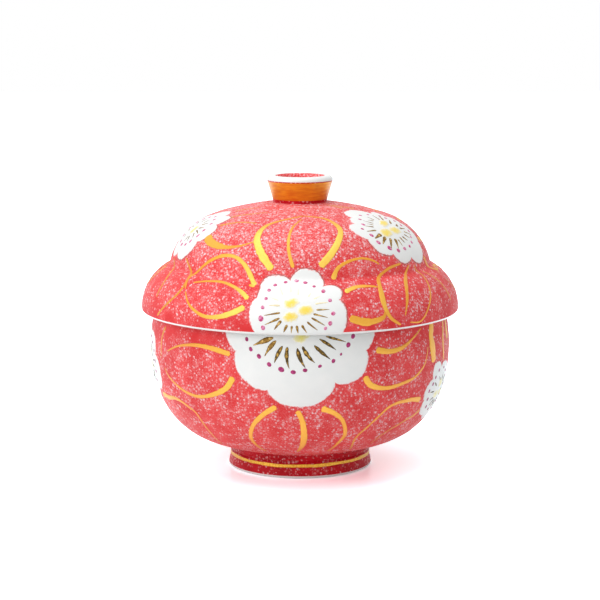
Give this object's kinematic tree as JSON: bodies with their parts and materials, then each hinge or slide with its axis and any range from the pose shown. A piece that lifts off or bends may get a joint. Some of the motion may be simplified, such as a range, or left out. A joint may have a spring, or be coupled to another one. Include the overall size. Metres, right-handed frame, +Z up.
{
  "type": "lidded donburi bowl",
  "caption": "Round lidded donburi bowl on a ring foot, with a domed over-fitting lid and a flared ring knob, red glaze with white plum blossoms and gold brush strokes.",
  "frame": {"origin": "centre of the foot's lower face, on the surface that the bowl stands on", "axes": "+Z up along the axis of the bowl, the lid and the knob; the pictured side faces -Y"},
  "size_m": [0.15, 0.15, 0.1382],
  "materials": {
    "bowl_glaze": "satin speckled red overglaze with white, gold and coloured enamels",
    "foot_glaze": "satin deep red overglaze with a gold band and a bare white foot edge",
    "lid_glaze": "satin speckled red overglaze with white, gold and coloured enamels",
    "knob_lustre": "brushed gold lustre wall with a white glazed lip"
  },
  "bodies": {
    "bowl": {"bowl_body": "bowl_glaze", "foot_ring": "foot_glaze"},
    "lid": {"lid_shell": "lid_glaze", "lid_knob": "knob_lustre"}
  },
  "joints": [
    {"name": "lid_lift", "type": "slide", "parent": "bowl", "child": "lid", "axis": [0, 0, 1], "range_m": [0, 0.08]}
  ]
}
